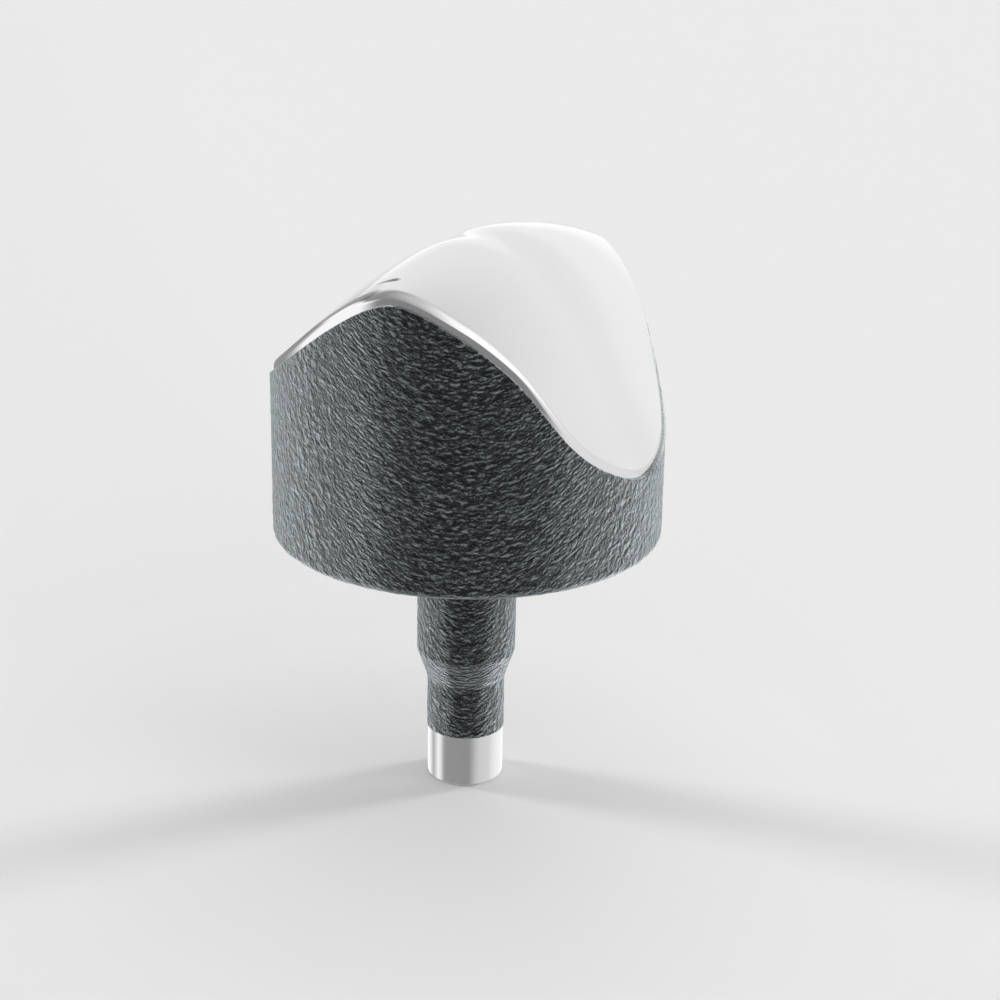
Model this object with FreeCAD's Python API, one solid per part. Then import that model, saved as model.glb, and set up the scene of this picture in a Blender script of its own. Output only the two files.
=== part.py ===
import FreeCAD, Part
import math
import os
from FreeCAD import Vector

# A press-in implant that replaces one shoulder of the ankle bone's dome. A polished metal
# body, hat and peg in one piece, carries a rough sprayed coat wherever it sits in bone.
# Millimetres. +Z points out of the bone along the peg's axis, -Y faces the front of the
# ankle, and the origin is the centre of the hat's underside, where the peg leaves it.

# Hat: the bare rim, and the coated side that stands a little proud of it
rim_radius = 7.34
coat_over_rim = 0.16
hat_edge_round = 0.3
blank_height = 15.0

# Sprayed coat, which lies in a relief turned into the metal
coat_thickness = 0.25
bare_strip = 0.19

# Peg over its coat: two diameters joined by a cone, and a bare tip flush with the coat
peg_root_radius = 1.95
peg_root_round = 0.15
peg_root_length = 5.0
peg_shoulder_round = 0.35
peg_end_radius = 1.54
cone_length = 1.2
peg_length = 10.45
core_root_flare = 0.2
bare_tip_length = 2.1
bare_tip_chamfer = 0.12

# Running face: a profile across the bone's shoulder, swept along it on a large arc.
# Each pair is a distance across the shoulder and the height there. The left end lies on
# the dome, the right end runs down the bone's side, and both go on straight.
shoulder_turn = 24.3
shoulder_profile = [
    (-7.5, 6.0), (-5.0, 8.05), (-3.0, 9.85), (-1.5, 11.05), (0.0, 11.85), (1.5, 11.85),
    (3.0, 11.05), (4.0, 10.0), (5.0, 8.45), (6.0, 6.25), (7.5, 3.6),
]
dome_slope = 0.79
side_slope = -1.58
sweep_radius = 22.0
dome_apex = -1.4
side_apex = 0.15
apex_blend = 3.0

# Shallow groove across the shoulder
groove_depth = 0.13
groove_place = -0.85
groove_half_width = 1.1
groove_start = -3.25
groove_run_in = 0.9

# Roll along the rim of the running face
rim_roll = 0.36

# Engraved pointer near the front of the face
mark_x = -2.7
mark_y = -5.82
mark_turn = -22.0
mark_length = 0.82
mark_width = 0.3
mark_depth = 0.12

# Fineness of the face's grid and of the coat's edge, and how far cutters overrun
grid_steps = 36
edge_steps = 24
edge_point_gap = 0.1
overrun = 1.0

axis_foot = Vector(0, 0, 0)
axis_up = Vector(0, 0, 1)

# Sizes that follow
coated_radius = rim_radius + coat_over_rim
core_radius = coated_radius - coat_thickness
cone_top = -peg_root_length
cone_foot = cone_top - cone_length
coat_end = bare_tip_length - peg_length
core_root = [
    (peg_root_radius - coat_thickness, cone_top, 0),
    (peg_root_radius - coat_thickness, coat_thickness - core_root_flare, 0),
    (peg_root_radius - coat_thickness + core_root_flare, coat_thickness, 0),
]


def turned_solid(corners):
    """Revolve a closed section. Each corner is (radius, height, rounding)."""
    count = len(corners)
    points = [Vector(radius, 0, height) for radius, height, rounding in corners]
    edges = []
    ends = []
    for i in range(count):
        here = points[i]
        rounding = corners[i][2]
        start = here
        end = here
        if rounding > 0:
            back = (points[i - 1] - here).normalize()
            ahead = (points[(i + 1) % count] - here).normalize()
            half_angle = back.getAngle(ahead) / 2
            reach = rounding / math.tan(half_angle)
            centre = here + (back + ahead).normalize() * (rounding / math.sin(half_angle))
            middle = centre + (here - centre).normalize() * rounding
            start = here + back * reach
            end = here + ahead * reach
            edges.append(Part.Arc(start, middle, end).toShape())
        ends.append((start, end))
    for i in range(count):
        edges.append(Part.LineSegment(ends[i][1], ends[(i + 1) % count][0]).toShape())
    section = Part.Face(Part.Wire(Part.__sortEdges__(edges)))
    return section.revolve(axis_foot, axis_up, 360)


def smooth_step(value):
    """Rise from 0 to 1 with level ends as the value goes from 0 to 1."""
    value = min(max(value, 0.0), 1.0)
    return value * value * (3 - 2 * value)


def profile_curve():
    """The shoulder's cross profile, with its distance across as the parameter."""
    curve = Part.BSplineCurve()
    curve.interpolate(
        Points=[Vector(across, 0, height) for across, height in shoulder_profile],
        Parameters=[across for across, height in shoulder_profile],
        InitialTangent=Vector(1, 0, dome_slope),
        FinalTangent=Vector(1, 0, side_slope),
        Scale=False,
    )
    return curve


def profile_height(curve, across):
    """Height of the cross profile, which goes on straight past both ends."""
    inside = min(max(across, shoulder_profile[0][0]), shoulder_profile[-1][0])
    beyond = across - inside
    slope = dome_slope if beyond < 0 else side_slope
    return curve.value(inside).z + slope * beyond


def face_height(curve, across, along):
    """Height of the running face, at a place across and along the shoulder."""
    share = smooth_step(across / apex_blend)
    apex = dome_apex * (1 - share) + side_apex * share
    fall = (along - apex) ** 2 / (2 * sweep_radius)
    fade = smooth_step((across - groove_start) / groove_run_in)
    groove = groove_depth * fade * math.exp(-((along - groove_place) / groove_half_width) ** 2)
    return profile_height(curve, across) - fall - groove


def space_under_face():
    """Everything below the running face, wider than the hat."""
    curve = profile_curve()
    reach = rim_radius + overrun
    stations = [reach * (2 * i / grid_steps - 1) for i in range(grid_steps + 1)]
    grid = [
        [Vector(across, along, face_height(curve, across, along)) for along in stations]
        for across in stations
    ]
    surface = Part.BSplineSurface()
    surface.interpolate(grid)
    face = surface.toShape()
    face.rotate(axis_foot, axis_up, -shoulder_turn)
    return face.extrude(Vector(0, 0, -2 * blank_height))


def metal_blank():
    """Hat and peg as turned, with the peg's relief, before the running face is milled."""
    return turned_solid([
        (0, -peg_length, 0),
        (peg_end_radius - bare_tip_chamfer, -peg_length, 0),
        (peg_end_radius, bare_tip_chamfer - peg_length, 0),
        (peg_end_radius, coat_end, 0),
        (peg_end_radius - coat_thickness, coat_end, 0),
        (peg_end_radius - coat_thickness, cone_foot, 0),
        *core_root,
        (rim_radius, coat_thickness, 0),
        (rim_radius, blank_height, 0),
        (0, blank_height, 0),
    ])


def rim_edges(solid):
    """The edges along the top of the hat's bare wall."""
    found = []
    for edge in solid.Edges:
        samples = edge.discretize(9)
        is_on_wall = all(abs(math.hypot(p.x, p.y) - rim_radius) < 0.001 for p in samples)
        is_above_foot = all(p.z > 2 * coat_thickness for p in samples)
        if is_on_wall and is_above_foot:
            found.append(edge)
    return found


def ring_edge(line, radius):
    """A closed curve at one radius, following the heights of a line round the rim."""
    scale = radius / rim_radius
    points = [Vector(scale * point.x, scale * point.y, point.z) for point in line]
    curve = Part.BSplineCurve()
    curve.interpolate(Points=points, PeriodicFlag=True)
    return curve.toShape()


def space_above_coat(rolled_hat):
    """Everything over the coat's upper edge, which runs a bare strip below the roll."""
    line = []
    for edge in rim_edges(rolled_hat):
        line += edge.discretize(edge_steps)
    line = [point - Vector(0, 0, bare_strip) for point in line]
    line.sort(key=lambda point: math.atan2(point.y, point.x))
    line = [p for i, p in enumerate(line) if p.distanceToPoint(line[i - 1]) > edge_point_gap]
    inner = ring_edge(line, core_radius - overrun)
    outer = ring_edge(line, coated_radius + overrun)
    return Part.makeRuledSurface(inner, outer).extrude(Vector(0, 0, 2 * blank_height))


def engraved_pointer(under_face):
    """The shallow pointer cut into the running face."""
    corners = [
        Vector(-mark_length / 2, 0, blank_height),
        Vector(mark_length / 2, -mark_width / 2, blank_height),
        Vector(mark_length / 2, mark_width / 2, blank_height),
        Vector(-mark_length / 2, 0, blank_height),
    ]
    outline = Part.Face(Part.makePolygon(corners))
    outline.rotate(axis_foot, axis_up, mark_turn)
    outline.translate(Vector(mark_x, mark_y, 0))
    floor = under_face.translated(Vector(0, 0, -mark_depth))
    return outline.extrude(Vector(0, 0, -blank_height)).cut(floor)


def hat_relief(above_coat):
    """The ring that is turned away from the hat's side to make room for the coat."""
    ring = turned_solid([
        (core_radius, 0, 0),
        (coated_radius, 0, 0),
        (coated_radius, blank_height, 0),
        (core_radius, blank_height, 0),
    ])
    return ring.cut(above_coat)


def sprayed_coat(above_coat):
    """Rough coat on the hat's side and underside and on the peg down to the bare tip."""
    sleeve = turned_solid([
        (peg_end_radius, coat_end, 0),
        (peg_end_radius, cone_foot, 0),
        (peg_root_radius, cone_top, peg_shoulder_round),
        (peg_root_radius, 0, peg_root_round),
        (coated_radius, 0, hat_edge_round),
        (coated_radius, blank_height, 0),
        (core_radius, blank_height, 0),
        (core_radius, coat_thickness, 0),
        *reversed(core_root),
        (peg_end_radius - coat_thickness, cone_foot, 0),
        (peg_end_radius - coat_thickness, coat_end, 0),
    ])
    return sleeve.cut(above_coat)


under_face = space_under_face()
milled_blank = metal_blank().common(under_face)
rolled_body = milled_blank.makeFillet(rim_roll, rim_edges(milled_blank))
above_coat = space_above_coat(rolled_body)
metal_body = rolled_body.cut(hat_relief(above_coat)).cut(engraved_pointer(under_face))

os.makedirs("parts", exist_ok=True)
nodes = {
    "metal_body": metal_body,
    "sprayed_coat": sprayed_coat(above_coat),
}
for name, shape in nodes.items():
    shape.exportStep("parts/" + name + ".step")
    print(name, len(shape.Solids), "solid", round(shape.Volume, 2), "mm3", shape.isValid())
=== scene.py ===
import math

import bpy
import numpy as np
from mathutils import Matrix, Vector, noise


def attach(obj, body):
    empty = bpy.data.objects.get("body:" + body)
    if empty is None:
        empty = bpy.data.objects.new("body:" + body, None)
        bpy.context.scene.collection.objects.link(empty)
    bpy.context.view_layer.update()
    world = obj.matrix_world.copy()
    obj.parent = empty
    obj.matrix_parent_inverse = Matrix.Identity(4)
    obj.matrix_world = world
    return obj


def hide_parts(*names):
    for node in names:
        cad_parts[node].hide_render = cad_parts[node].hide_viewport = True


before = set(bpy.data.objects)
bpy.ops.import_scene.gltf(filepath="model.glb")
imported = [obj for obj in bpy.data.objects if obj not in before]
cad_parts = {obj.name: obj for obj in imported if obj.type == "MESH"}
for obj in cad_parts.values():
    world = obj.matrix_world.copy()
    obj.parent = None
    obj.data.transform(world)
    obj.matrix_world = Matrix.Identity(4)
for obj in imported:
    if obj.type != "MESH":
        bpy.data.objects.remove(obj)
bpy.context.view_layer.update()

# Sizes of the part, in millimetres, as in the CAD source
MM = 0.001
rim_radius = 7.34
coated_radius = 7.5
core_radius = 7.25
hat_edge_round = 0.3
coat_thickness = 0.25
bare_strip = 0.19
rim_roll = 0.36

peg_root_radius = 1.95
peg_root_round = 0.15
cone_top = -5.0
cone_foot = -6.2
peg_shoulder_round = 0.35
peg_end_radius = 1.54
coat_end = -8.35
peg_tip = -10.45
bare_tip_radius = 1.5
bare_tip_chamfer = 0.12
core_root_flare = 0.2

shoulder_turn = math.radians(24.3)
shoulder_profile = np.array([
    (-7.5, 6.0), (-5.0, 8.05), (-3.0, 9.85), (-1.5, 11.05), (0.0, 11.85), (1.5, 11.85),
    (3.0, 11.05), (4.0, 10.0), (5.0, 8.45), (6.0, 6.25), (7.5, 3.6),
])
dome_slope = 0.79
side_slope = -1.58
sweep_radius = 22.0
dome_apex = -1.4
side_apex = 0.15
apex_blend = 3.0
groove_depth = 0.13
groove_place = -0.85
groove_half_width = 1.1
groove_start = -3.25
groove_run_in = 0.9

mark_x = -2.7
mark_y = -5.82
mark_turn = math.radians(-22)
mark_length = 0.82
mark_width = 0.3
mark_depth = 0.12
mark_edge = 0.05
mark_taper = 0.3

# Sizes of the look: the coat's crisp edges, how far it laps over the metal, and how deep
# its roughness bites
coat_edge_round = 0.08
coat_end_round = 0.05
coat_lap = 0.1
rough_depth = 0.035

# Ripples of the coat, drawn out across a tilted axis: as geometry, and as fine ripples at
# the front and sides, whose rise is taken over a share of their size. The fine ripples'
# rise is bump, and is also painted into the colour as shade and highlight.
ripple_tilt = math.radians(52)
ripple_axis = Vector((0, -math.sin(ripple_tilt), math.cos(ripple_tilt)))
grain_stretch = 2.8
front_stretch = 3.0
side_stretch = 1.35
front_scale = 3600.0
side_scale = 3400.0
ripple_reach = 0.26

# Fineness of the meshes. The metal's is in shares of the radius and in radians, finer
# round the mark. The hat's underside meets the peg's columns between two radii.
face_reach = 7.05
fine_share = 0.0031
coarse_share = 0.0125
mark_reach = 0.058
fine_turn = 0.0031
coarse_turn = 0.0145
mark_turn_reach = 0.1
hat_columns = 600
peg_columns = 150
wall_rings = 96
gather_outer = 2.6
gather_inner = 2.48


# The running face

def spline_slopes(places, values, first, last):
    """Slopes at the places of the smooth cubic through the values, with given end slopes."""
    gaps = np.diff(places)
    rises = np.diff(values)
    count = len(places)
    matrix = np.eye(count)
    right = np.empty(count)
    right[0] = first
    right[-1] = last
    for i in range(1, count - 1):
        before, after = gaps[i - 1], gaps[i]
        matrix[i, i - 1:i + 2] = 1 / before, 2 / before + 2 / after, 1 / after
        right[i] = 3 * (rises[i - 1] / before ** 2 + rises[i] / after ** 2)
    return np.linalg.solve(matrix, right)


profile_places, profile_heights = shoulder_profile.T
profile_slopes = spline_slopes(profile_places, profile_heights, dome_slope, side_slope)


def profile_height(across):
    """Height of the cross profile, which goes on straight past both ends."""
    inside = np.clip(across, profile_places[0], profile_places[-1])
    i = np.searchsorted(profile_places, inside, side="right") - 1
    i = np.clip(i, 0, len(profile_places) - 2)
    gap = profile_places[i + 1] - profile_places[i]
    t = (inside - profile_places[i]) / gap
    rest = 1 - t
    height = profile_heights[i] * (1 + 2 * t) * rest ** 2
    height += profile_heights[i + 1] * t ** 2 * (3 - 2 * t)
    height += gap * (profile_slopes[i] * t * rest ** 2 - profile_slopes[i + 1] * t ** 2 * rest)
    beyond = across - inside
    return height + np.where(beyond < 0, dome_slope, side_slope) * beyond


def smooth_step(value):
    """Rise from 0 to 1 with level ends as the value goes from 0 to 1."""
    value = np.clip(value, 0.0, 1.0)
    return value * value * (3 - 2 * value)


def plain_face(x, y):
    """Height of the running face without its engraved mark."""
    across = x * math.cos(shoulder_turn) - y * math.sin(shoulder_turn)
    along = x * math.sin(shoulder_turn) + y * math.cos(shoulder_turn)
    share = smooth_step(across / apex_blend)
    apex = dome_apex * (1 - share) + side_apex * share
    fall = (along - apex) ** 2 / (2 * sweep_radius)
    fade = smooth_step((across - groove_start) / groove_run_in)
    groove = groove_depth * fade * np.exp(-((along - groove_place) / groove_half_width) ** 2)
    return profile_height(across) - fall - groove


def mark_share(x, y):
    """How far a place lies in the engraved pointer, from 0 outside to 1 on its floor."""
    u = (x - mark_x) * math.cos(mark_turn) + (y - mark_y) * math.sin(mark_turn)
    v = (y - mark_y) * math.cos(mark_turn) - (x - mark_x) * math.sin(mark_turn)
    half = mark_width / 2 * (u / mark_length + 0.5)
    half *= np.sqrt(np.clip((mark_length / 2 - u) / mark_taper, 0.0, 1.0))
    inside = np.minimum(half - np.abs(v), mark_length / 2 - u)
    return smooth_step(inside / mark_edge + 0.5)


def marked_face(x, y):
    """Height of the running face with its engraved pointer."""
    return plain_face(x, y) - mark_depth * mark_share(x, y)


def face_normal(face, x, y, reach=0.004):
    """Upward normals of a height function, from slopes over a short reach."""
    slope_x = (face(x + reach, y) - face(x - reach, y)) / (2 * reach)
    slope_y = (face(x, y + reach) - face(x, y - reach)) / (2 * reach)
    normal = np.stack([-slope_x, -slope_y, np.ones_like(slope_x)], -1)
    return normal / np.linalg.norm(normal, axis=-1, keepdims=True)


def rolled_rim(angles):
    """Where a ball rolled along inside the rim touches the face, and its centre's height."""
    centre_x = (rim_radius - rim_roll) * np.cos(angles)
    centre_y = (rim_radius - rim_roll) * np.sin(angles)
    x, y = centre_x, centre_y
    for _ in range(60):
        normal = face_normal(plain_face, x, y)
        x = centre_x + rim_roll * normal[:, 0]
        y = centre_y + rim_roll * normal[:, 1]
    normal = face_normal(plain_face, x, y)
    centre_z = plain_face(x, y) - rim_roll * normal[:, 2]
    return x, y, normal, np.stack([centre_x, centre_y, centre_z], -1)


# Meshes

def between(start, end, count):
    """Evenly spaced values after the start, up to and with the end."""
    return [start + (end - start) * (i + 1) / count for i in range(count)]


def grow(around, near, reach, fine, coarse):
    """Steps round a place: fine within reach of near, coarse elsewhere, from 0 to around."""
    values = [0.0]
    while values[-1] < around:
        step = fine if abs(values[-1] - near) < reach else coarse
        values.append(values[-1] + step)
    scale = around / values[-1]
    return np.array(values) * scale


def strip_faces(first, second):
    """Quads between two closed rings of vertex numbers with the same count."""
    after_first = np.roll(first, -1)
    after_second = np.roll(second, -1)
    return np.stack([first, second, after_second, after_first], -1).tolist()


def gather_faces(wide, narrow):
    """Triangles and quads from a ring to one with a quarter of its vertices."""
    faces = []
    count = len(narrow)
    for j in range(count):
        a = [int(wide[(4 * j + k) % len(wide)]) for k in range(5)]
        b, c = int(narrow[j]), int(narrow[(j + 1) % count])
        faces += [[a[0], b, a[1]], [a[1], b, a[2]], [a[2], b, c], [a[2], c, a[3]], [a[3], c, a[4]]]
    return faces


def new_piece(name, points, faces, material, normals=None):
    """A smooth piece of the part, with its points in millimetres."""
    mesh = bpy.data.meshes.new(name)
    mesh.from_pydata((np.asarray(points) * MM).tolist(), [], faces)
    mesh.update()
    mesh.shade_smooth()
    if normals is not None:
        mesh.normals_split_custom_set_from_vertices(np.asarray(normals).tolist())
    mesh.materials.append(material)
    piece = bpy.data.objects.new(name, mesh)
    bpy.context.scene.collection.objects.link(piece)
    return piece


def metal_mesh():
    """Points, normals and faces of the polished body."""
    mark_angle = math.atan2(mark_y, mark_x)
    turns = grow(2 * math.pi, math.pi, mark_turn_reach, fine_turn, coarse_turn)[:-1]
    angles = mark_angle + turns - math.pi
    cos, sin = np.cos(angles), np.sin(angles)
    count = len(angles)
    x, y, contact, centre = rolled_rim(angles)
    mark_place = math.hypot(mark_x, mark_y) / face_reach
    shares = grow(1.0, mark_place, mark_reach, fine_share, coarse_share)[1:]
    points, normals = [], []
    for share in shares:
        ring_x, ring_y = x * share, y * share
        height = marked_face(ring_x, ring_y)
        points.append(np.stack([ring_x, ring_y, height], -1))
        normals.append(face_normal(marked_face, ring_x, ring_y))
    outward = np.stack([cos, sin, np.zeros(count)], -1)
    spread = np.arccos(np.sum(contact * outward, -1))[:, None]
    for t in between(0, 1, 14):
        turned = np.sin((1 - t) * spread) * contact + np.sin(t * spread) * outward
        turned /= np.sin(spread)
        points.append(centre + rim_roll * turned)
        normals.append(turned)

    def add(radius, height, across, up):
        height = np.broadcast_to(height, (count,))
        points.append(np.stack([radius * cos, radius * sin, height], -1))
        normals.append(np.stack([across * cos, across * sin, np.full(count, up)], -1))

    foot = centre[:, 2] - bare_strip - coat_lap
    for t in between(0, 1, 3):
        add(rim_radius, centre[:, 2] + (foot - centre[:, 2]) * t, 1, 0)
    add(core_radius, foot, 0, -1)
    add(core_radius, coat_thickness, 0.7, -0.7)
    root = peg_root_radius - coat_thickness
    add(root + core_root_flare, coat_thickness, 0.4, -0.9)
    add(root, coat_thickness - core_root_flare, 1, 0)
    add(root, cone_top, 1, 0)
    add(peg_end_radius - coat_thickness, cone_foot, 1, 0)
    add(peg_end_radius - coat_thickness, coat_end + coat_end_round, 0.7, 0.7)
    add(bare_tip_radius, coat_end + coat_end_round, 1, 0)
    for t in between(0, 1, 6):
        add(bare_tip_radius, coat_end + (peg_tip + bare_tip_chamfer - coat_end) * t, 1, 0)
    for i in range(1, 6):
        turn = i * math.pi / 10
        radius = bare_tip_radius - bare_tip_chamfer * (1 - math.cos(turn))
        height = peg_tip + bare_tip_chamfer * (1 - math.sin(turn))
        add(radius, height, math.cos(turn), -math.sin(turn))
    add(bare_tip_radius - 2 * bare_tip_chamfer, peg_tip, 0, -1)

    rings = np.arange(len(points) * count).reshape(-1, count)
    faces = []
    for i in range(len(points) - 1):
        faces += strip_faces(rings[i], rings[i + 1])
    points = np.concatenate(points)
    normals = np.concatenate(normals)
    top, end = len(points), len(points) + 1
    middle = np.zeros(1)
    top_height = marked_face(middle, middle)[0]
    top_normal = face_normal(plain_face, middle, middle)[0]
    points = np.vstack([points, [(0, 0, top_height), (0, 0, peg_tip)]])
    normals = np.vstack([normals, [top_normal, (0, 0, -1)]])
    for j in range(count):
        k = (j + 1) % count
        faces.append([top, int(rings[0][j]), int(rings[0][k])])
        faces.append([end, int(rings[-1][k]), int(rings[-1][j])])
    return points, normals, faces


def grain(point):
    """Height of the coat's coarser roughness at a point, about 0 to 1."""
    point = point + ripple_axis * point.dot(ripple_axis) * (grain_stretch - 1)
    coarse = noise.noise(point * 2.1)
    middle = noise.noise(point * 3.9 + Vector((7, 3, 1)))
    return min(max(0.5 + 0.5 * coarse + 0.5 * middle, 0.0), 1.0)


def coat_mesh():
    """Points, faces and edge shares of the sprayed coat, roughened in from its true surface.
    An edge share says how far a point belongs to the upper edge, round the back alone, where a
    pale painted highlight goes."""
    points, faces, edges = [], [], []

    def ring(count, radius, height, across, up, depth, edge_highlight_share=0.0):
        angles = np.arange(count) * 2 * math.pi / count
        cos, sin = np.cos(angles), np.sin(angles)
        height = np.broadcast_to(height, (count,))
        place = np.stack([radius * cos, radius * sin, height], -1)
        normal = np.stack([across * cos, across * sin, np.full(count, up)], -1)
        if depth:
            bite = np.array([1 - grain(Vector(p)) for p in place])
            place = place - normal * (bite * depth * rough_depth)[:, None]
        numbers = np.arange(count) + len(points)
        points.extend(place.tolist())
        # The share of the painted highlight fades out towards the front.
        edges.extend((edge_highlight_share * smooth_step((sin + 0.45) / 0.3)).tolist())
        return numbers

    def join(rings):
        for i in range(len(rings) - 1):
            faces.extend(strip_faces(rings[i], rings[i + 1]))

    angles = np.arange(hat_columns) * 2 * math.pi / hat_columns
    top = rolled_rim(angles)[3][:, 2] - bare_strip
    edge = coat_edge_round
    hat = [ring(hat_columns, core_radius, top, 0, 1, 0, 1.0)]
    for radius in between(core_radius, coated_radius - edge, 2):
        hat.append(ring(hat_columns, radius, top, 0, 1, 0.15, 1.0))
    for i in range(1, 5):
        turn = i * math.pi / 8
        across, up = math.sin(turn), math.cos(turn)
        radius = coated_radius - edge + edge * across
        height = top - edge + edge * up
        hat.append(ring(hat_columns, radius, height, across, up, 0.2 + 0.1 * i, 1 - i / 4))
    wall_top = top - edge
    for t in between(0, 1, wall_rings):
        height = wall_top + (hat_edge_round - wall_top) * t
        depth = min(1.0, 0.7 + 30 * t)
        hat.append(ring(hat_columns, coated_radius, height, 1, 0, depth))
    for i in range(1, 7):
        turn = i * math.pi / 12
        across, up = math.cos(turn), -math.sin(turn)
        radius = coated_radius - hat_edge_round + hat_edge_round * across
        hat.append(ring(hat_columns, radius, hat_edge_round + hat_edge_round * up, across, up, 1))
    for radius in between(coated_radius - hat_edge_round, gather_outer, 24):
        hat.append(ring(hat_columns, radius, 0, 0, -1, 1))
    join(hat)

    peg = []
    root_centre = peg_root_radius + peg_root_round
    peg.append(ring(peg_columns, gather_inner, 0, 0, -1, 1))
    for radius in between(gather_inner, root_centre, 3):
        peg.append(ring(peg_columns, radius, 0, 0, -1, 1))
    for i in range(1, 5):
        turn = i * math.pi / 8
        radius = root_centre - peg_root_round * math.sin(turn)
        height = -peg_root_round * (1 - math.cos(turn))
        peg.append(ring(peg_columns, radius, height, math.sin(turn), -math.cos(turn), 1))
    half_turn = math.atan2(peg_root_radius - peg_end_radius, cone_top - cone_foot) / 2
    reach = peg_shoulder_round * math.tan(half_turn)
    for height in between(-peg_root_round, cone_top + reach, 58):
        peg.append(ring(peg_columns, peg_root_radius, height, 1, 0, 1))
    for i in range(1, 4):
        turn = 2 * half_turn * i / 3
        radius = peg_root_radius - peg_shoulder_round * (1 - math.cos(turn))
        height = cone_top + reach - peg_shoulder_round * math.sin(turn)
        peg.append(ring(peg_columns, radius, height, math.cos(turn), -math.sin(turn), 1))
    cone_across, cone_down = math.cos(2 * half_turn), -math.sin(2 * half_turn)
    for t in between(0, 1, 14):
        peg.append(ring(
            peg_columns, radius + (peg_end_radius - radius) * t,
            height + (cone_foot - height) * t, cone_across, cone_down, 1,
        ))
    for height in between(cone_foot, coat_end + coat_end_round, 26):
        peg.append(ring(peg_columns, peg_end_radius, height, 1, 0, 1))
    for i in range(1, 4):
        turn = i * math.pi / 6
        radius = peg_end_radius - coat_end_round * (1 - math.cos(turn))
        height = coat_end + coat_end_round * (1 - math.sin(turn))
        peg.append(ring(peg_columns, radius, height, math.cos(turn), -math.sin(turn), 0.4))
    inner_end = peg_end_radius - coat_thickness
    inner_root = peg_root_radius - coat_thickness
    for radius, height in (
        (inner_end, coat_end), (inner_end, cone_foot), (inner_root, cone_top),
        (inner_root, coat_thickness - core_root_flare),
        (inner_root + core_root_flare, coat_thickness), (gather_inner, coat_thickness),
    ):
        peg.append(ring(peg_columns, radius, height, 1, 0, 0))
    join(peg)
    faces.extend(gather_faces(hat[-1], peg[0]))

    inner = [ring(hat_columns, gather_outer, coat_thickness, 0, 1, 0)]
    inner.append(ring(hat_columns, core_radius, coat_thickness, 0, 1, 0))
    join(inner)
    for face in gather_faces(inner[0], peg[-1]):
        faces.append(face[::-1])
    faces.extend(strip_faces(inner[-1], hat[0]))
    return points, faces, edges


# Materials

def new_material(name, **values):
    """A material with socket values by name, its node tree and its shader."""
    material = bpy.data.materials.new(name)
    material.use_nodes = True
    tree = material.node_tree
    shader = tree.nodes["Principled BSDF"]
    for socket, value in values.items():
        shader.inputs[socket.replace("_", " ")].default_value = value
    return material, tree, shader


def add_node(tree, kind, links=(), **values):
    """A node of a kind, with socket values by name and links as (socket, output) pairs."""
    made = tree.nodes.new("ShaderNode" + kind)
    for key, value in values.items():
        if hasattr(made, key):
            setattr(made, key, value)
        else:
            made.inputs[key.replace("_", " ")].default_value = value
    for socket, output in links:
        tree.links.new(output, made.inputs[socket])
    return made


def polished_metal():
    """Mirror-polished metal, duller and darker where the mark is engraved."""
    material, tree, shader = new_material("polished cobalt chrome", Metallic=1.0)
    place = add_node(tree, "TexCoord").outputs["Object"]
    etched = add_node(tree, "Attribute", attribute_name="etched").outputs["Fac"]
    colour = add_node(tree, "Mix", [("Factor", etched)], data_type="RGBA")
    colour.inputs[6].default_value = (0.8, 0.8, 0.81, 1)
    colour.inputs[7].default_value = (0.3, 0.3, 0.31, 1)
    tree.links.new(colour.outputs[2], shader.inputs["Base Color"])
    soft = add_node(tree, "TexNoise", [("Vector", place)], Scale=260.0, Detail=3.0)
    rough = add_node(
        tree, "MapRange", [("Value", soft.outputs["Fac"])],
        From_Min=0.3, From_Max=0.7, To_Min=0.08, To_Max=0.12,
    ).outputs["Result"]
    rough = add_node(
        tree, "Math", [(0, etched), (2, rough)], operation="MULTIPLY_ADD",
    )
    rough.inputs[1].default_value = 0.35
    tree.links.new(rough.outputs["Value"], shader.inputs["Roughness"])
    fine = add_node(tree, "TexNoise", [("Vector", place)], Scale=900.0, Detail=2.0)
    bump = add_node(
        tree, "Bump", [("Height", fine.outputs["Fac"])], Strength=0.1, Distance=0.00001,
    )
    tree.links.new(bump.outputs["Normal"], shader.inputs["Normal"])
    return material


def ripples(tree, place, stretch, scale):
    """Noise drawn out across the ripple axis, as its rise along that axis, about 0.5."""
    layer = add_node(tree, "VectorMath", [(0, place)], operation="DOT_PRODUCT")
    layer.inputs[1].default_value = ripple_axis
    squeeze = add_node(
        tree, "VectorMath", [("Scale", layer.outputs["Value"])], operation="SCALE",
    )
    squeeze.inputs[0].default_value = ripple_axis * (stretch - 1)
    squeezed = add_node(
        tree, "VectorMath", [(0, place), (1, squeeze.outputs["Vector"])], operation="ADD",
    ).outputs["Vector"]
    heights = []
    for side in (1, -1):
        moved = add_node(tree, "VectorMath", [(0, squeezed)], operation="ADD")
        moved.inputs[1].default_value = ripple_axis * (side * ripple_reach / scale)
        heights.append(add_node(
            tree, "TexNoise", [("Vector", moved.outputs["Vector"])], Scale=scale, Detail=3.0,
            Roughness=0.6, Distortion=0.3,
        ).outputs["Fac"])
    rise = add_node(
        tree, "Math", [(0, heights[0]), (1, heights[1])], operation="SUBTRACT",
    ).outputs["Value"]
    return add_node(tree, "Math", [(0, rise)], operation="ADD").outputs["Value"]


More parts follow.
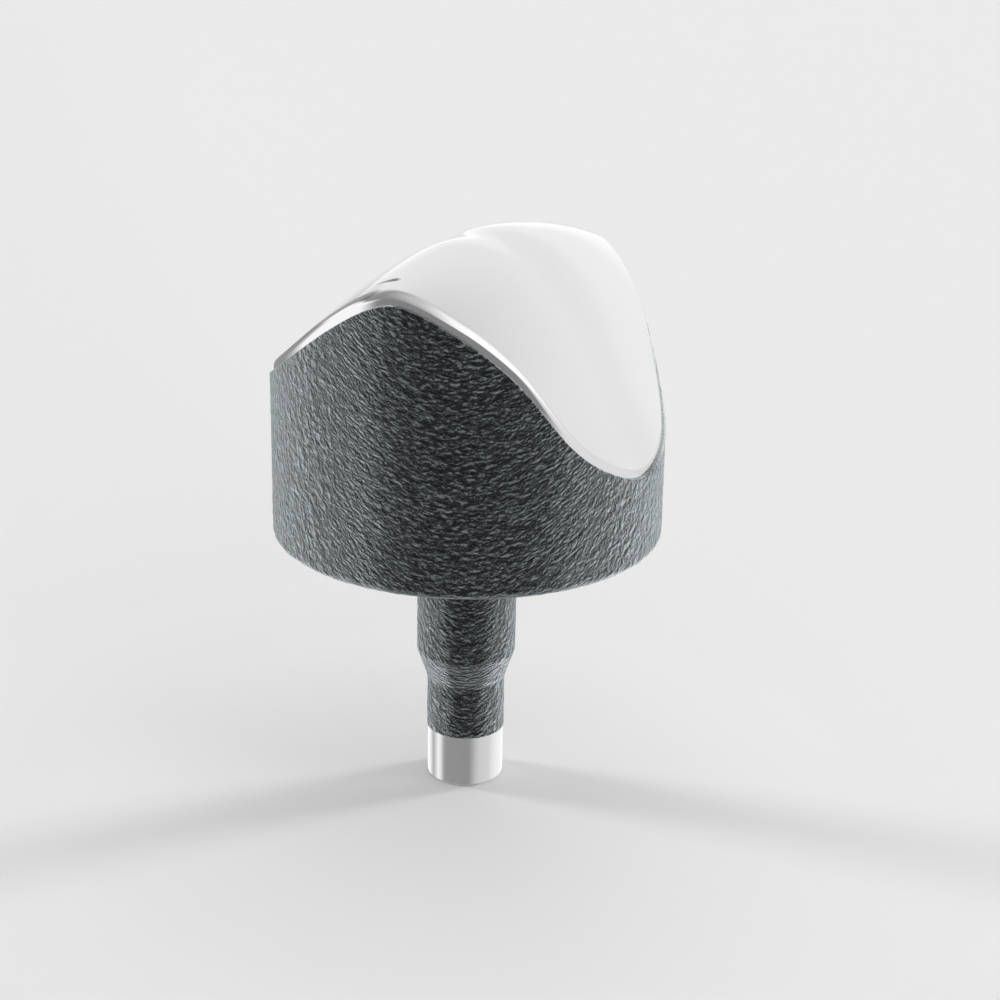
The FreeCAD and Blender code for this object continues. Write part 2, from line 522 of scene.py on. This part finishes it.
def rough_coat():
    """Dark sprayed coat with a cool sheen, rippled by bump; painted shade and highlight lie on its
    ripples, a painted highlight on its upper edge.
    """
    material, tree, shader = new_material(
        "sprayed coat", Roughness=0.5, Specular_IOR_Level=0.05,
        Sheen_Weight=1.0, Sheen_Roughness=0.42, Sheen_Tint=(0.9, 0.97, 1.0, 1),
    )
    texture = add_node(tree, "TexCoord")
    facing = add_node(tree, "SeparateXYZ", [(0, texture.outputs["Normal"])]).outputs["X"]
    sideways = add_node(tree, "Math", [(0, facing)], operation="ABSOLUTE").outputs["Value"]
    share = add_node(
        tree, "MapRange", [("Value", sideways)], From_Min=0.5, From_Max=0.75,
    ).outputs["Result"]
    place = texture.outputs["Object"]
    ripple = add_node(tree, "Mix", [
        ("Factor", share),
        (2, ripples(tree, place, front_stretch, front_scale)),
        (3, ripples(tree, place, side_stretch, side_scale)),
    ], data_type="FLOAT").outputs[0]
    # Painted shade and highlight: the ripples' rise along the tilted axis is mapped to colour,
    # light on one side of each ripple and near black on the other, as if lit along that axis; the
    # coat's dark grey tone is its own.
    coat_tone_and_painted_shade = add_node(tree, "ValToRGB", [("Fac", ripple)])
    ramp = coat_tone_and_painted_shade.color_ramp
    levels = ((0.36, 0.003), (0.46, 0.006), (0.52, 0.018), (0.6, 0.07), (0.7, 0.2))
    while len(ramp.elements) < len(levels):
        ramp.elements.new(0.5)
    for element, (position, level) in zip(ramp.elements, levels):
        element.position = position
        element.color = (level * 0.86, level, level * 1.03, 1)
    # Painted highlight: round the back, the coat's upper edge is mixed to a pale grey that stands
    # in for light, not for the coat's own colour.
    edge = add_node(tree, "Attribute", attribute_name="painted_edge_highlight").outputs["Fac"]
    colour = add_node(
        tree, "Mix", [("Factor", edge), (6, coat_tone_and_painted_shade.outputs["Color"])], data_type="RGBA",
    )
    colour.inputs[7].default_value = (0.6, 0.62, 0.63, 1)
    tree.links.new(colour.outputs[2], shader.inputs["Base Color"])
    bump = add_node(
        tree, "Bump", [("Height", ripple)], Strength=1.0, Distance=0.00013,
    )
    tree.links.new(bump.outputs["Normal"], shader.inputs["Normal"])
    return material


# Pieces

points, normals, faces = metal_mesh()
metal = new_piece("polished_body", points, faces, polished_metal(), normals)
x, y, z = points.T
etched = np.where(z > 0, mark_share(x, y), 0.0)
metal.data.attributes.new("etched", "FLOAT", "POINT").data.foreach_set("value", etched)
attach(metal, "root")
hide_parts("metal_body")

points, faces, edges = coat_mesh()
coat = new_piece("sprayed_coat_grain", points, faces, rough_coat())
# The edge shares set where the painted highlight goes.
coat.data.attributes.new("painted_edge_highlight", "FLOAT", "POINT").data.foreach_set("value", edges)
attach(coat, "root")
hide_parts("sprayed_coat")


# Floor, light and camera

def stage_piece(name, points, faces, material):
    """A floor or card beside the part. Points are in metres."""
    mesh = bpy.data.meshes.new(name)
    mesh.from_pydata(points, [], faces)
    mesh.materials.append(material)
    piece = bpy.data.objects.new(name, mesh)
    bpy.context.scene.collection.objects.link(piece)
    return piece


def direction(azimuth, elevation):
    """A direction from its angle right of straight behind the part, and its elevation."""
    azimuth, elevation = math.radians(azimuth), math.radians(elevation)
    flat = math.cos(elevation)
    return (flat * math.sin(azimuth), flat * math.cos(azimuth), math.sin(elevation))


def mirror_card(name, near, far, levels):
    """A card just over the floor, between two rows of points, that shows in mirrors alone.
    Its brightness changes softly from one level to the next."""
    count = len(levels)
    points = [(x, y, floor_height + card_gap + lift) for x, y, lift in near + far]
    faces = [(i, i + 1, count + i + 1, count + i) for i in range(count - 1)]
    material, tree, shader = new_material(
        name, Base_Color=(0, 0, 0, 1), Specular_IOR_Level=0.0, Emission_Color=(1, 1, 1, 1),
    )
    level = add_node(tree, "Attribute", attribute_name="level").outputs["Fac"]
    tree.links.new(level, shader.inputs["Emission Strength"])
    card = stage_piece(name, points, faces, material)
    values = list(levels) * 2
    card.data.attributes.new("level", "FLOAT", "POINT").data.foreach_set("value", values)
    card.visible_camera = False
    card.visible_diffuse = False
    card.visible_shadow = False


def toward_front(turn, distance):
    """A place on the floor at an angle right of the front and a distance from the axis."""
    return distance * math.sin(turn), -distance * math.cos(turn)


def round_card(name, near, far, stops):
    """A mirror card round the part between two distances. A stop is the angle right of the
    front, the level there, and how high the far edge is lifted."""
    angles, levels, lifts = zip(*stops)
    steps = np.linspace(angles[0], angles[-1], card_steps)
    turns = np.radians(steps)
    lifts = np.interp(steps, angles, lifts)
    near_row = [(*toward_front(turn, near), 0.0) for turn in turns]
    far_row = [(*toward_front(turn, far), lift) for turn, lift in zip(turns, lifts)]
    mirror_card(name, near_row, far_row, np.interp(steps, angles, levels))


def tip_card(name, reach, stops):
    """A mirror card that the bare tip shows as upright bands. A stop is the share of the
    tip's radius right of its middle, and the level there."""
    shares, levels = zip(*stops)
    steps = np.linspace(shares[0], shares[-1], card_steps)
    near_row, far_row = [], []
    for turn in np.arcsin(steps):
        x, y = toward_front(turn, bare_tip_radius * MM + card_gap)
        away_x, away_y = toward_front(2 * turn, reach)
        near_row.append((x, y, 0.0))
        far_row.append((x + away_x, y + away_y, 0.0))
    mirror_card(name, near_row, far_row, np.interp(steps, shares, levels))


def studio_world(base, glows, flags):
    """Soft light from all round. A glow is (azimuth, elevation, full, edge, strength) in
    degrees, and a flag takes a share of the light away in the same way."""
    world = bpy.data.worlds.new("studio")
    world.use_nodes = True
    tree = world.node_tree
    place = add_node(tree, "TexCoord").outputs["Generated"]

    def patch(azimuth, elevation, full, edge, outside, inside):
        toward = add_node(tree, "VectorMath", [(0, place)], operation="DOT_PRODUCT")
        toward.inputs[1].default_value = direction(azimuth, elevation)
        return add_node(
            tree, "MapRange", [("Value", toward.outputs["Value"])],
            interpolation_type="SMOOTHSTEP",
            From_Min=math.cos(math.radians(edge)), From_Max=math.cos(math.radians(full)),
            To_Min=outside, To_Max=inside,
        ).outputs["Result"]

    def combine(operation, first, second):
        links = [(0, first), (1, second)]
        return add_node(tree, "Math", links, operation=operation).outputs["Value"]

    total = patch(*glows[0][:4], base, glows[0][4])
    for azimuth, elevation, full, edge, strength in glows[1:]:
        glow = patch(azimuth, elevation, full, edge, base, strength)
        total = combine("MAXIMUM", total, glow)
    for azimuth, elevation, full, edge, share in flags:
        flag = patch(azimuth, elevation, full, edge, 1, 1 - share)
        total = combine("MULTIPLY", total, flag)
    shader = tree.nodes["Background"]
    tree.links.new(total, shader.inputs["Strength"])
    shader.inputs["Color"].default_value = (1, 1, 1, 1)
    bpy.context.scene.world = world


def rim_light(name, azimuth, elevation, spread, strength):
    """A broad low light from the side and behind, which mirrors don't show."""
    data = bpy.data.lights.new(name, "SUN")
    data.angle = math.radians(spread)
    data.energy = strength
    light = bpy.data.objects.new(name, data)
    toward = Vector(direction(azimuth, elevation))
    light.rotation_euler = toward.to_track_quat("Z", "Y").to_euler()
    light.visible_glossy = False
    bpy.context.scene.collection.objects.link(light)


def photo_camera():
    """The camera that the photo was taken with, as fitted to its lines."""
    focal_pixels = 2168.19
    frame_pixels = 1000
    camera_place = Vector((1.2406, -78.5517, 29.8532))
    tilt = math.radians(20.0705)
    roll = math.radians(0.9306)
    back = Vector((0, -math.cos(tilt), math.sin(tilt)))
    right = Vector((1, 0, 0))
    up = back.cross(right)
    turned_right = right * math.cos(roll) + up * math.sin(roll)
    turned_up = up * math.cos(roll) - right * math.sin(roll)
    data = bpy.data.cameras.new("camera")
    data.sensor_width = 36
    data.lens = focal_pixels / frame_pixels * data.sensor_width
    data.clip_start = 0.001
    camera = bpy.data.objects.new("camera", data)
    place = Matrix((turned_right, turned_up, back)).transposed().to_4x4()
    place.translation = camera_place * MM
    camera.matrix_world = place
    bpy.context.scene.collection.objects.link(camera)
    bpy.context.scene.camera = camera


# In metres
floor_height = peg_tip * MM
floor_reach = 1.2
card_gap = 0.00005
card_steps = 131
tip_card_reach = 0.015
floor_card_near = 0.022
floor_card_far = 0.24

floor_corners = [
    (x * floor_reach, y * floor_reach, floor_height)
    for x, y in ((-1, -1), (1, -1), (1, 1), (-1, 1))
]
floor_paint = new_material("pale floor", Base_Color=(0.8, 0.8, 0.8, 1), Roughness=0.8)[0]
stage_piece("pale_floor", floor_corners, [(0, 1, 2, 3)], floor_paint)
tip_card("tip_card", tip_card_reach, [
    (-1.0, 1.15), (-0.94, 1.1), (-0.85, 0.52), (-0.8, 0.7), (-0.72, 1.1), (-0.66, 0.95),
    (-0.56, 0.4), (-0.5, 0.35), (0.1, 0.33), (0.17, 0.42), (0.32, 0.66), (0.42, 0.74),
    (0.62, 0.78), (0.75, 0.97), (0.9, 1.1), (1.0, 1.15),
])
round_card("floor_card", floor_card_near, floor_card_far, [
    (-168, 0.8, 0.02), (-159, 0.32, 0.03), (-128, 0.33, 0.046), (-117, 0.56, 0.046),
    (-111, 0.8, 0.046), (-104, 1.15, 0.046), (-70, 1.15, 0.046), (-61, 1.15, 0.02),
    (-51, 0.27, 0.02), (40, 0.27, 0.02), (54, 0.88, 0.02), (110, 0.88, 0.02),
])
studio_world(0.4, [
    (6, -10, 48, 116, 0.96),
    (138, 32, 3, 93, 0.85),
    (132, 13, 12, 76, 1.24),
    (16, -9, 30, 57, 1.02),
    (10, -15, 21, 48, 1.13),
    (-78, -9, 26, 34, 2.64),
], [
    (-58, -2, 38, 46, 0.55),
    (-135, 45, 44, 57, 0.2),
])
rim_light("left_light", -71, 2, 16, 9.5)
rim_light("right_light", 65, 2, 16, 9.5)
photo_camera()
bpy.context.scene.view_settings.view_transform = "Standard"
